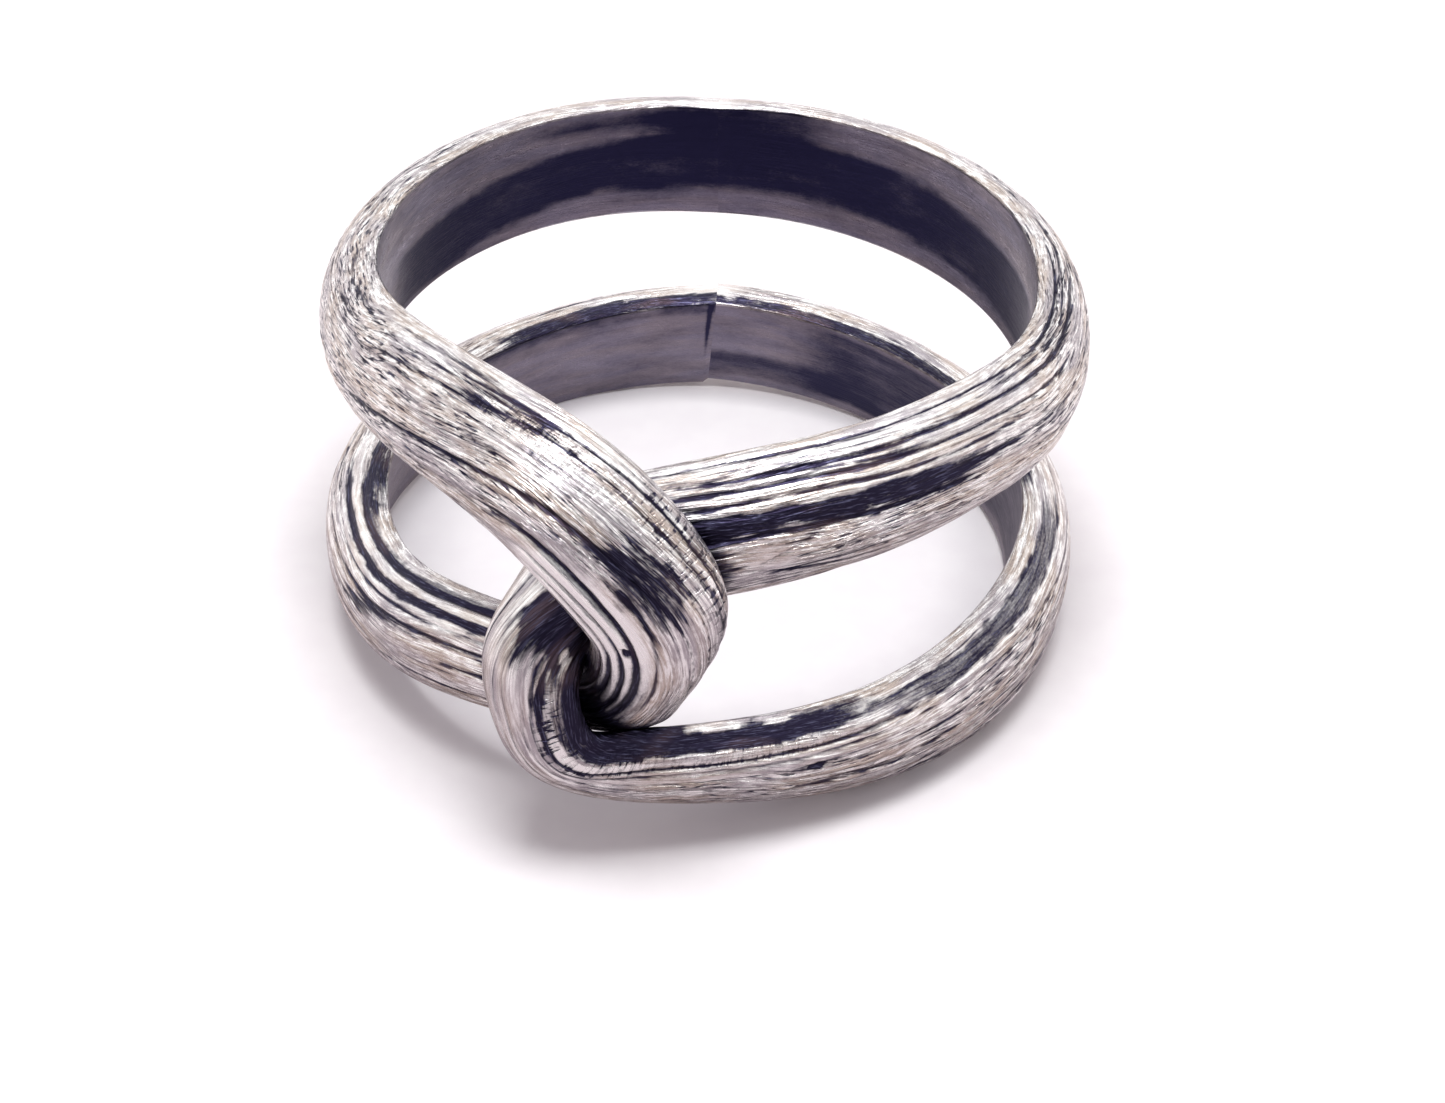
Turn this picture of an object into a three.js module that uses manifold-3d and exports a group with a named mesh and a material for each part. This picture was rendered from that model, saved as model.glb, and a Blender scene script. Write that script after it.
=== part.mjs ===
// Finger ring made of two hairpins of half-round silver wire. The two hairpins hook through each
// other's eyes at the front, which makes the knot, and their four ends are soldered in two butt
// seams at the back, one on the upper band and one on the lower band.
//
// Frame: millimetres, +Z up along the bore axis, the knot faces -Y, the seams face +Y. The ring
// stands on z = 0, and the origin is the middle of the model's footprint.

import * as THREE from 'three';
import { NURBSCurve } from 'three/addons/curves/NURBSCurve.js';
import { mergeVertices } from 'three/addons/utils/BufferGeometryUtils.js';
import Module from 'manifold-3d';

const wasm = await Module();
wasm.setup();

// ---- Driving dimensions, millimetres and degrees ----

const BORE_RADIUS = 9.5;          // the flat inner face of the wire lies on this cylinder
const WIRE_THICKNESS = 1.8;       // flat inner face to the crest of the dome
const EDGE_HEIGHT = 0.35;         // straight edge of the half-round section, below its dome
const DOME_FACETS = 10;           // straight steps that the dome is drawn with
const SECTIONS_PER_STATION = 4;   // wire sections between two stations of a path
const UPPER_BACK = 9.25;          // middle of the upper band's width at the back
const LOWER_BACK = 2.2;           // middle of the lower band's width at the back
const SEAM_LENGTH = 0.3;          // solder between two wire ends, along the band
const SEAM_CLEARANCE = 0.02;      // between the solder and each wire end
const SEAM_INSET = 0.06;          // the solder is filed this far below the wire around it
const SEAM_STEP = 0.12;           // the lower band's left end sits this much below its right end
const STANDING_CUT = 0.22;        // worn off the lowest points, so that the ring stands flat
const CUTTER_SIZE = 60;           // a block that is larger than the ring

// Azimuth of the wire ends, which leaves room at the back for the seam.
const BACK_END = 180 - THREE.MathUtils.radToDeg((SEAM_LENGTH / 2 + SEAM_CLEARANCE) / BORE_RADIUS);

// ---- Wire paths ----
// A station is [azimuth, height, lift, tilt, width] of the wire's flat inner face:
//   azimuth  angle round the bore from the front (-Y), positive towards +X
//   height   of the middle of the flat face, along the bore axis
//   lift     how far the flat face stands off the bore
//   tilt     roll of the section about the wire, which tips the dome
//   width    of the flat face
// A uniform cubic B-spline through the stations' columns gives the wire between them.

const LEFT_LOOP_STATIONS = [
  [-BACK_END, UPPER_BACK, 0, 2, 3.9],       // upper end, at the back
  [-150, 9.5, 0, 2, 3.9],
  [-120, 9.8, 0, 2, 4.0],
  [-92, 10.3, 0, 0, 4.05],                  // left side of the upper band
  [-70, 11.3, 0, 0, 4.15],
  [-52, 12.2, 0.3, -5, 4.2],
  [-36, 12.9, 1.0, -12, 4.2],               // climbs off the bore, over the right loop
  [-22, 12.8, 1.7, -16, 4.3],
  [-12, 11.7, 2.3, -16, 4.4],               // across the right loop's upper leg
  [-5, 9.9, 2.65, -17, 4.15],
  [-4.4, 8.9, 2.6, -22, 3.8],               // right end of the hairpin bend
  [-6.7, 7.3, 2.25, -28, 3.2],
  [-10, 5.8, 1.1, -25, 3.3],                // dives through the right loop's eye
  [-17, 4.9, 0.15, -7, 3.35],
  [-27, 4.4, 0, 0, 3.5],                    // back on the bore, under the right loop's bend
  [-42, 3.9, 0, 0, 3.65],
  [-60, 2.95, 0, 0, 3.7],
  [-80, 2.6, 0, 5, 3.85],                   // left side of the lower band
  [-105, 2.5, 0, 12, 3.9],
  [-140, 1.78, 0, 14, 3.9],
  [-BACK_END, LOWER_BACK - SEAM_STEP / 2, 0, 13, 3.9],   // lower end, at the back
];

const RIGHT_LOOP_STATIONS = [
  [BACK_END, UPPER_BACK, 0, -2, 3.9],       // upper end, at the back
  [150, 9.4, 0, -6, 3.95],
  [121, 9.75, 0, -7, 4.0],
  [94, 10.15, 0, -2, 4.0],                  // right side of the upper band
  [69, 10.4, 0, 0, 4.05],
  [49, 11.3, 0, 4, 4.05],
  [30, 11.1, 0, 9, 4.05],
  [13, 10.9, 0, 14, 4.15],                  // the dome tips upwards
  [-4, 10.1, 0, 14, 4.1],                   // under the left loop
  [-13, 9.9, 0.3, 12, 3.65],
  [-17.5, 8.9, 0.95, 8, 2.85],
  [-21.5, 7.3, 2.55, 17, 2.8],              // left end of the hairpin bend, over the left loop
  [-19.5, 6.1, 2.8, 26, 2.7],
  [-18, 4.4, 2.55, 30, 2.75],
  [-11, 3.6, 1.7, 31, 3.5],
  [3, 3.0, 0.7, 26, 3.7],                   // along the bottom of the front
  [26, 2.3, 0.1, 17, 4.05],
  [57, 1.8, 0, 0, 4.2],
  [85, 2.35, 0, 7, 4.15],                   // right side of the lower band
  [102, 2.45, 0, 0, 4.0],
  [132, 1.83, 0, -11, 3.8],
  [BACK_END, LOWER_BACK + SEAM_STEP / 2, 0, -13, 3.8],   // lower end, at the back
];

// ---- Wire section ----

// Outline of the half-round section: x across the flat face (-0.5 to 0.5 of the width), y out
// from it in millimetres. It runs from one foot of the flat face over the dome to the other.
function halfRoundSection() {
  const domeHeight = WIRE_THICKNESS - EDGE_HEIGHT;
  const outline = [new THREE.Vector2(0.5, 0)];
  for (let i = 0; i <= DOME_FACETS; i++) {
    const angle = Math.PI * i / DOME_FACETS;
    outline.push(new THREE.Vector2(0.5 * Math.cos(angle), EDGE_HEIGHT + domeHeight * Math.sin(angle)));
  }
  outline.push(new THREE.Vector2(-0.5, 0));
  return outline;
}

// ---- Wire path ----

// Uniform cubic B-spline that starts at the first point and ends at the last one.
function smoothCurve(points) {
  const mirrored = (end, next) => end.clone().multiplyScalar(2).sub(next).setW(1);
  const last = points.length - 1;
  const controls = [mirrored(points[0], points[1]), ...points, mirrored(points[last], points[last - 1])];
  const degree = 3;
  const knots = Array.from({ length: controls.length + degree + 1 }, (_, i) => i);
  return new NURBSCurve(degree, knots, controls, degree, controls.length);
}

// Samples the stations into sections, each with its centre, its tilt and its width.
function sampleStations(stations) {
  const placeCurve = smoothCurve(stations.map(([azimuth, height, lift]) =>
    new THREE.Vector4(azimuth, height, lift, 1)));
  const shapeCurve = smoothCurve(stations.map(([, , , tilt, width]) =>
    new THREE.Vector4(tilt, width, 0, 1)));
  const count = (stations.length - 1) * SECTIONS_PER_STATION;
  const sections = [];
  for (let i = 0; i <= count; i++) {
    const place = placeCurve.getPoint(i / count);
    const shape = shapeCurve.getPoint(i / count);
    const azimuth = THREE.MathUtils.degToRad(place.x);
    const outward = new THREE.Vector3(Math.sin(azimuth), -Math.cos(azimuth), 0);
    const centre = outward.clone().multiplyScalar(BORE_RADIUS + place.z);
    centre.z = place.y;
    sections.push({ centre, outward, tilt: THREE.MathUtils.degToRad(shape.x), width: shape.y });
  }
  return sections;
}

// Gives each section its normal (out of the dome) and its side (across the flat face).
function orientSections(sections) {
  sections.forEach((section, i) => {
    const before = sections[Math.max(i - 1, 0)].centre;
    const after = sections[Math.min(i + 1, sections.length - 1)].centre;
    const along = after.clone().sub(before).normalize();
    const level = section.outward.clone().addScaledVector(along, -section.outward.dot(along)).normalize();
    section.normal = level.applyAxisAngle(along, section.tilt);
    section.side = along.clone().cross(section.normal);
  });
  return sections;
}

// ---- Solids ----

// Closed skin over a row of sections, with a flat cap at each end.
function sweep(sections, inset = 0) {
  const outline = halfRoundSection();
  const positions = [];
  for (const { centre, normal, side, width } of sections) {
    for (const { x, y } of outline) {
      const point = centre.clone();
      point.addScaledVector(side, x * (width - 2 * inset));
      point.addScaledVector(normal, y > 0 ? y - inset : y + inset);
      positions.push(point.x, point.y, point.z);
    }
  }
  const ring = outline.length;
  const triangles = [];
  for (let i = 0; i + 1 < sections.length; i++) {
    for (let j = 0; j < ring; j++) {
      const a = i * ring + j;
      const b = i * ring + (j + 1) % ring;
      triangles.push(a, a + ring, b);
      triangles.push(b, a + ring, b + ring);
    }
  }
  const lastRing = (sections.length - 1) * ring;
  for (let j = 1; j + 1 < ring; j++) {
    triangles.push(0, j, j + 1);
    triangles.push(lastRing, lastRing + j + 1, lastRing + j);
  }
  return closedGeometry(positions, triangles);
}

function closedGeometry(positions, triangles) {
  const geometry = new THREE.BufferGeometry();
  geometry.setAttribute('position', new THREE.BufferAttribute(new Float32Array(positions), 3));
  geometry.setIndex(triangles);
  return geometry;
}

function toSolid(geometry) {
  const bare = geometry.clone();
  bare.deleteAttribute('normal');
  bare.deleteAttribute('uv');
  const merged = mergeVertices(bare);
  const mesh = new wasm.Mesh({
    numProp: 3,
    vertProperties: merged.getAttribute('position').array,
    triVerts: new Uint32Array(merged.getIndex().array),
  });
  return new wasm.Manifold(mesh);
}

function toGeometry(solid) {
  const { vertProperties, triVerts } = solid.getMesh();
  return closedGeometry(vertProperties, Array.from(triVerts));
}

// Takes everything below the given height off a wire, so that it has a flat foot to stand on.
function cutFoot(geometry, height) {
  const block = new THREE.BoxGeometry(CUTTER_SIZE, CUTTER_SIZE, CUTTER_SIZE);
  block.translate(0, 0, height - CUTTER_SIZE / 2);
  return toGeometry(toSolid(geometry).subtract(toSolid(block)));
}

// The solder between the back ends of the two loops, given both ends' sections.
function seamBetween(leftEnd, rightEnd) {
  const start = { ...rightEnd, centre: rightEnd.centre.clone(), side: rightEnd.side.clone().negate() };
  const end = { ...leftEnd, centre: leftEnd.centre.clone() };
  const towardsEnd = end.centre.clone().sub(start.centre).normalize();
  start.centre.addScaledVector(towardsEnd, SEAM_CLEARANCE);
  end.centre.addScaledVector(towardsEnd, -SEAM_CLEARANCE);
  return [start, end];
}

function lowestPoint(geometry) {
  geometry.computeBoundingBox();
  return geometry.boundingBox.min.z;
}

// ---- Assembly ----

const silver = { color: 0xc4c2c6, roughness: 0.32, metalness: 1.0 };
const solder = { color: 0x6d6a70, roughness: 0.55, metalness: 1.0 };

const leftSections = orientSections(sampleStations(LEFT_LOOP_STATIONS));
const rightSections = orientSections(sampleStations(RIGHT_LOOP_STATIONS));
const upperSeam = seamBetween(leftSections[0], rightSections[0]);
const lowerSeam = seamBetween(leftSections.at(-1), rightSections.at(-1)).reverse();

const leftWire = sweep(leftSections);
const rightWire = sweep(rightSections);
const standingHeight = Math.min(lowestPoint(leftWire), lowestPoint(rightWire)) + STANDING_CUT;

const ring = new THREE.Group();

function addPiece(name, geometry, finish) {
  const mesh = new THREE.Mesh(geometry, new THREE.MeshStandardMaterial(finish));
  mesh.name = name;
  ring.add(mesh);
}

addPiece('left_loop', cutFoot(leftWire, standingHeight), silver);
addPiece('right_loop', cutFoot(rightWire, standingHeight), silver);
addPiece('upper_solder_seam', sweep(upperSeam, SEAM_INSET), solder);
addPiece('lower_solder_seam', sweep(lowerSeam, SEAM_INSET), solder);

const extent = new THREE.Box3().setFromObject(ring);
const footprint = extent.getCenter(new THREE.Vector3());
ring.position.set(-footprint.x, -footprint.y, -standingHeight);

const model = new THREE.Group();
model.add(ring);

export default model;
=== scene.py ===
"""Looks for the finger ring of two interlocked wire loops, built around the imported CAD.

Each wire loop is swept again along the CAD's own path, with a much finer skin. The skin carries the
hammered ridges, long grooves, scratches and pits of the real wire as geometry. They are cut
inwards. Only two soft swells in the knot stand out, and every point of a wire is kept inside its
CAD node's box. Lengths in this file are millimetres until a mesh is made.
"""

import math

import bpy
import numpy as np
from mathutils import Matrix, Vector
from mathutils.kdtree import KDTree


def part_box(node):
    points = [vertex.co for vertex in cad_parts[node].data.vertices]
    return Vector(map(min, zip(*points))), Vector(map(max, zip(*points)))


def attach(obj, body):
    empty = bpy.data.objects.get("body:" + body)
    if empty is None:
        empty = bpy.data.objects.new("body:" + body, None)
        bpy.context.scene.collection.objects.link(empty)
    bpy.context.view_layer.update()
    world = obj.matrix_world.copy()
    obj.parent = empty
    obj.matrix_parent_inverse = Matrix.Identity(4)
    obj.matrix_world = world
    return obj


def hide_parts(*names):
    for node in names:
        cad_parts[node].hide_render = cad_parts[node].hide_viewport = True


MM = 0.001

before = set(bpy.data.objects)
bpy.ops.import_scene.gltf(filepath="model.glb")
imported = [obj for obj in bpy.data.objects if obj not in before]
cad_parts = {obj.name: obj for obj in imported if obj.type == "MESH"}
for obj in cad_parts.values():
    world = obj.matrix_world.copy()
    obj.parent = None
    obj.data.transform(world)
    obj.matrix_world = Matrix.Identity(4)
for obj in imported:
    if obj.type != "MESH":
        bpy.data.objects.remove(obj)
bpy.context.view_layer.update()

# ---- Wire, as the CAD drives it ----

BORE_RADIUS = 9.5
WIRE_THICKNESS = 1.8
EDGE_HEIGHT = 0.35
UPPER_BACK = 9.25
LOWER_BACK = 2.2
SEAM_LENGTH = 0.3
SEAM_CLEARANCE = 0.02
SEAM_STEP = 0.12
BACK_END = 180 - math.degrees((SEAM_LENGTH / 2 + SEAM_CLEARANCE) / BORE_RADIUS)

# azimuth, height, lift, tilt, width
LEFT_STATIONS = [
    (-BACK_END, UPPER_BACK, 0, 2, 3.9),
    (-150, 9.5, 0, 2, 3.9),
    (-120, 9.8, 0, 2, 4.0),
    (-92, 10.3, 0, 0, 4.05),
    (-70, 11.3, 0, 0, 4.15),
    (-52, 12.2, 0.3, -5, 4.2),
    (-36, 12.9, 1.0, -12, 4.2),
    (-22, 12.8, 1.7, -16, 4.3),
    (-12, 11.7, 2.3, -16, 4.4),
    (-5, 9.9, 2.65, -17, 4.15),
    (-4.4, 8.9, 2.6, -22, 3.8),
    (-6.7, 7.3, 2.25, -28, 3.2),
    (-10, 5.8, 1.1, -25, 3.3),
    (-17, 4.9, 0.15, -7, 3.35),
    (-27, 4.4, 0, 0, 3.5),
    (-42, 3.9, 0, 0, 3.65),
    (-60, 2.95, 0, 0, 3.7),
    (-80, 2.6, 0, 5, 3.85),
    (-105, 2.5, 0, 12, 3.9),
    (-140, 1.78, 0, 14, 3.9),
    (-BACK_END, LOWER_BACK - SEAM_STEP / 2, 0, 13, 3.9),
]

RIGHT_STATIONS = [
    (BACK_END, UPPER_BACK, 0, -2, 3.9),
    (150, 9.4, 0, -6, 3.95),
    (121, 9.75, 0, -7, 4.0),
    (94, 10.15, 0, -2, 4.0),
    (69, 10.4, 0, 0, 4.05),
    (49, 11.3, 0, 4, 4.05),
    (30, 11.1, 0, 9, 4.05),
    (13, 10.9, 0, 14, 4.15),
    (-4, 10.1, 0, 14, 4.1),
    (-13, 9.9, 0.3, 12, 3.65),
    (-17.5, 8.9, 0.95, 8, 2.85),
    (-21.5, 7.3, 2.55, 17, 2.8),
    (-19.5, 6.1, 2.8, 26, 2.7),
    (-18, 4.4, 2.55, 30, 2.75),
    (-11, 3.6, 1.7, 31, 3.5),
    (3, 3.0, 0.7, 26, 3.7),
    (26, 2.3, 0.1, 17, 4.05),
    (57, 1.8, 0, 0, 4.2),
    (85, 2.35, 0, 7, 4.15),
    (102, 2.45, 0, 0, 4.0),
    (132, 1.83, 0, -11, 3.8),
    (BACK_END, LOWER_BACK + SEAM_STEP / 2, 0, -13, 3.8),
]

# ---- Small numeric helpers ----


def smoothstep(low, high, value):
    t = np.clip((value - low) / (high - low), 0.0, 1.0)
    return t * t * (3 - 2 * t)


def unit(vectors):
    return vectors / np.linalg.norm(vectors, axis=-1, keepdims=True)


def gradient_noise(x, y, seed):
    """Seeded Perlin noise, about -0.7 to 0.7, on arrays of coordinates."""
    size = 256
    angles = np.random.RandomState(seed).uniform(0, 2 * np.pi, (size, size))
    gx, gy = np.cos(angles), np.sin(angles)
    xi, yi = np.floor(x).astype(int), np.floor(y).astype(int)
    fx, fy = x - xi, y - yi
    ux = fx * fx * fx * (fx * (fx * 6 - 15) + 10)
    uy = fy * fy * fy * (fy * (fy * 6 - 15) + 10)

    def corner(dx, dy):
        i, j = (xi + dx) % size, (yi + dy) % size
        return gx[i, j] * (fx - dx) + gy[i, j] * (fy - dy)

    low = corner(0, 0) * (1 - ux) + corner(1, 0) * ux
    high = corner(0, 1) * (1 - ux) + corner(1, 1) * ux
    return low * (1 - uy) + high * uy


def layered_noise(x, y, seed, layers=3):
    total, gain = 0.0, 1.0
    for k in range(layers):
        total = total + gain * gradient_noise(x * 2**k, y * 2**k, seed + 31 * k)
        gain *= 0.5
    return total


def crack_lines(x, y, seed, width):
    """1 along the wandering lines where a noise field crosses zero, 0 away from them."""
    return 1 - smoothstep(0.0, width, np.abs(gradient_noise(x, y, seed)))


# ---- Wire path and skin ----


def smooth_path(rows, samples_per_span):
    """Uniform cubic B-spline through a table's columns, from its first row to its last."""
    rows = np.array(rows, float)
    c = np.vstack([2 * rows[0] - rows[1], rows, 2 * rows[-1] - rows[-2]])
    spans = len(c) - 3
    t = np.linspace(0, spans, spans * samples_per_span + 1)
    i = np.minimum(t.astype(int), spans - 1)
    f = (t - i)[:, None]
    return (
        (1 - f) ** 3 * c[i]
        + (3 * f**3 - 6 * f**2 + 4) * c[i + 1]
        + (-3 * f**3 + 3 * f**2 + 3 * f + 1) * c[i + 2]
        + f**3 * c[i + 3]
    ) / 6


def wire_path(stations, step):
    """Evenly spaced sections of the wire: arc length, centre, normal, side and width of each."""
    rows = smooth_path(stations, 60)
    azimuth = np.radians(rows[:, 0])
    radius = BORE_RADIUS + rows[:, 2]
    centre = np.stack([radius * np.sin(azimuth), -radius * np.cos(azimuth), rows[:, 1]], -1)
    length = np.concatenate([[0], np.cumsum(np.linalg.norm(np.diff(centre, axis=0), axis=1))])
    s = np.linspace(0, length[-1], int(length[-1] / step) + 1)
    table = np.column_stack([rows, centre])
    even = np.column_stack([np.interp(s, length, column) for column in table.T])
    azimuth, centre = np.radians(even[:, 0]), even[:, 5:8]
    outward = np.stack([np.sin(azimuth), -np.cos(azimuth), 0 * azimuth], -1)
    along = unit(np.gradient(centre, axis=0))
    level = unit(outward - (outward * along).sum(1, keepdims=True) * along)
    across = np.cross(along, level)
    tilt = np.radians(even[:, 3:4])
    normal = np.cos(tilt) * level + np.sin(tilt) * across
    return s, centre, normal, np.cross(along, normal), even[:, 4]


DOME_POINTS = 80
FOOT_POINTS = 16
CORNER_POINTS = 4
CORNER_RADIUS = 0.12
CORNER_SHARE, CORNER_SHARE_GROWTH = 0.03, 0.05
DOME_HEIGHT = WIRE_THICKNESS - EDGE_HEIGHT


def dome_angles(half_width, count):
    """Angles round the dome's half ellipse, evenly spaced along its arc."""
    a = np.linspace(0, np.pi, 2001)
    step = np.hypot(half_width * np.sin(a), DOME_HEIGHT * np.cos(a))
    arc = np.concatenate([[0], np.cumsum((step[1:] + step[:-1]) / 2 * np.diff(a))])
    return np.interp(np.linspace(0, arc[-1], count), arc, a)


TYPICAL_HALF_WIDTH = 2.0
ANGLES = dome_angles(TYPICAL_HALF_WIDTH, DOME_POINTS)


def section_outlines(width):
    """Closed outline of every section, as columns of points.

    They are x, y, outline normal x and y, distance round, share across and region. Distance round
    is 0 where the dome starts and grows over the dome; on the foot it runs back, so it never jumps.
    Share runs from 0 to 1 over the dome and back over the foot, and a little past both on the
    rounded corners. Region is 0 on the dome, 1 on the flat foot, and runs between them over the
    corners.
    """
    half = width[:, None] / 2
    x = half * np.cos(ANGLES)
    y = EDGE_HEIGHT + DOME_HEIGHT * np.sin(ANGLES) + 0 * half
    nx, ny = np.cos(ANGLES) / half, np.sin(ANGLES) / DOME_HEIGHT + 0 * half
    scale = np.hypot(nx, ny)
    nx, ny = nx / scale, ny / scale
    steps = np.cumsum(np.hypot(np.diff(x), np.diff(y)), axis=1)
    over = np.concatenate([0 * half, steps], axis=1)
    span = over[:, -1:]
    parts = [(x, y, nx, ny, over, ANGLES / np.pi + 0 * half, 0 * x)]
    turn = np.linspace(0, np.pi / 2, CORNER_POINTS)
    edge = EDGE_HEIGHT - CORNER_RADIUS

    def corner(sign, t):
        cx = sign * (half - CORNER_RADIUS + CORNER_RADIUS * np.cos(t))
        cy = CORNER_RADIUS - CORNER_RADIUS * np.sin(t) + 0 * half
        down = edge + CORNER_RADIUS * t + 0 * half
        far = sign < 0
        region = t / turn[-1]
        beyond = CORNER_SHARE + CORNER_SHARE_GROWTH * region
        return (
            cx,
            cy,
            sign * np.cos(t) + 0 * half,
            -np.sin(t) + 0 * half,
            span + down if far else -down,
            0 * cx + (1 + beyond if far else -beyond),
            region + 0 * half,
        )

    parts.append(corner(-1, turn))
    f = np.linspace(-1, 1, FOOT_POINTS + 2)[1:-1]
    foot_x = f * (half - CORNER_RADIUS)
    side_length = edge + CORNER_RADIUS * turn[-1]
    foot_round = (span + side_length) * (0.5 - f / 2) - side_length * (0.5 + f / 2)
    zero = 0 * foot_x
    parts.append((foot_x, zero, zero, zero - 1, foot_round, 0.5 - f / 2 + zero, zero + 1))
    parts.append(corner(1, turn[::-1]))
    return [np.concatenate(columns, axis=1) for columns in zip(*parts)]


# ---- Relief ----

# Depths in millimetres of the marks that noise lays over the whole dome.
BROAD_DEPTH = 0.034
RIDGE_DEPTH = 0.034
FINE_DEPTH = 0.016
LONG_LINE_DEPTH = 0.050
SHORT_LINE_DEPTH = 0.026
NICK_DEPTH = 0.022
CROSS_LINE_DEPTH = 0.016

# A thin dark line just inside each edge of the dome, in millimetres and a share of oxide.
RIM_LINE_AT = 0.30
RIM_LINE_HALF_WIDTH = 0.05
RIM_LINE_DEPTH = 0.030
RIM_LINE_OXIDE = 0.50

# The wire is filed smooth within this distance of a soldered end.
FILED_REACH = 1.6
FILED_SHARE = 0.8


def soft_box(value, low, high, soft):
    """1 between low and high, 0 outside, with edges twice as wide as soft."""
    rise = smoothstep(low - soft, low + soft, value)
    return rise * (1 - smoothstep(high - soft, high + soft, value))


def groove(s, q, span, line, wander):
    """How deep into one hand-cut groove each point is, 0 to 1."""
    s0, s1, q0, q1, width = line[:5]
    t = np.clip((s - s0) / (s1 - s0), 0, 1)
    centre = q0 + (q1 - q0) * t + wander
    off = (q - centre) * span
    ends = soft_box(s, s0, s1, 0.12 * (s1 - s0))
    return np.exp(-((off / width) ** 2)) * ends


def patch(s, q, blot, ragged):
    """A ragged patch: centre and half sizes along and across."""
    s0, q0, half_s, half_q = blot[:4]
    r = np.hypot((s - s0) / half_s, (q - q0) / half_q) + ragged
    return 1 - smoothstep(0.60, 1.15, r)


def stripe(s, q, band, ragged):
    """A long band: start and end along, low and high share across, both edges a little ragged."""
    s0, s1, q0, q1 = band[:4]
    return soft_box(s + 0.7 * ragged, s0, s1, 1.4) * soft_box(q + 0.035 * ragged, q0, q1, 0.016)


def spread(s, q, areas):
    """Largest strength of the soft areas at each point."""
    total = np.zeros_like(s)
    for area in areas:
        total = np.maximum(total, patch(s, q, area, 0) * area[4])
    return total


def wire_relief(s, over, span, q, marks, seed, from_end):
    """Depth cut into the dome (mm), dark oxide, calm, flecks and crosscut, for every point.

    s is the distance along the wire, over the distance over the dome out of span, and q the share.
    """
    edge = np.minimum(over, span - over)
    on_dome = smoothstep(0.05, 0.28, edge)
    filed = FILED_SHARE * (1 - smoothstep(0.2, FILED_REACH, from_end))
    calm = np.maximum(spread(s, q, marks["calm"]), filed)
    flecks = spread(s, q, marks["flecks"]) * (1 - filed)
    rough = 1 - calm
    warp = layered_noise(s / 7.0, over / 2.2, seed, 2) * (0.16 + 0.40 * flecks)
    v = over + warp
    broad = gradient_noise(s / 14.0, v / 0.80, seed + 1)
    ridge = gradient_noise(s / 11.0, v / 0.36, seed + 2)
    fine = gradient_noise(s / 4.0, v / 0.19, seed + 12)
    long_lines = crack_lines(s / 13.0, v / 0.52, seed + 3, 0.10)
    broken = gradient_noise(s / 5.0, over / 0.9, seed + 4)
    long_lines = long_lines * smoothstep(-0.25, 0.10, broken)
    short_lines = crack_lines(s / 4.5, v / 0.24, seed + 5, 0.13)
    broken = gradient_noise(s / 2.5, over / 0.6, seed + 6)
    short_lines = short_lines * smoothstep(-0.20, 0.20, broken)
    nicks = crack_lines((s + 0.7 * over) / 0.8, v / 0.20, seed + 7, 0.16)
    broken = gradient_noise(s / 1.6, over / 0.7, seed + 8)
    nicks = nicks * smoothstep(-0.10, 0.20, broken) * flecks
    depth = on_dome * np.maximum(
        0,
        BROAD_DEPTH * (broad + 0.5)
        + rough * (RIDGE_DEPTH * (ridge + 0.4) + FINE_DEPTH * (fine + 0.4))
        + rough
        * (LONG_LINE_DEPTH * long_lines + SHORT_LINE_DEPTH * short_lines + NICK_DEPTH * nicks),
    )
    valley = smoothstep(0.05, 0.5, ridge)
    lines = 0.78 * (1 - 0.4 * flecks) * long_lines + 0.42 * short_lines + 0.40 * nicks
    oxide = on_dome * rough * (0.22 * valley + lines)
    rim_line = np.exp(-(((edge - RIM_LINE_AT) / RIM_LINE_HALF_WIDTH) ** 2))
    broken = gradient_noise(s / 4.0, np.sign(q - 0.5) * 3.3, seed + 9)
    rim_line = rim_line * smoothstep(-0.2, 0.2, broken)
    depth = depth + RIM_LINE_DEPTH * rim_line
    oxide = oxide + RIM_LINE_OXIDE * rim_line
    crosscut = spread(s, q, marks["crosscut"])
    cross = crack_lines(s / 0.30 + 0.4 * over, over / 1.1, seed + 14, 0.30) * crosscut
    depth = depth + on_dome * CROSS_LINE_DEPTH * cross
    ragged = layered_noise(s / 0.9, over / 0.35, seed + 24, 4)
    for k, line in enumerate(marks["grooves"]):
        line_depth, line_oxide = line[5:]
        wander = 0.010 * gradient_noise(s / 2.2, 0 * s + 7.7 * k, seed + 20)
        wander = wander + 0.004 * gradient_noise(s / 0.5, 0 * s + 3.1 * k, seed + 21)
        g = groove(s, q, span, line, wander)
        depth = depth + line_depth * g
        oxide = oxide + line_oxide * g
    stripes = [(band[4:], stripe(s, q, band, ragged)) for band in marks["bands"]]
    patches = [(blot[4:], patch(s, q, blot, 0.5 * ragged)) for blot in marks["blots"]]
    for (mark_oxide, mark_depth), m in stripes + patches:
        oxide = oxide + mark_oxide * m
        depth = depth + mark_depth * m
    return depth, oxide, calm, flecks, crosscut


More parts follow.
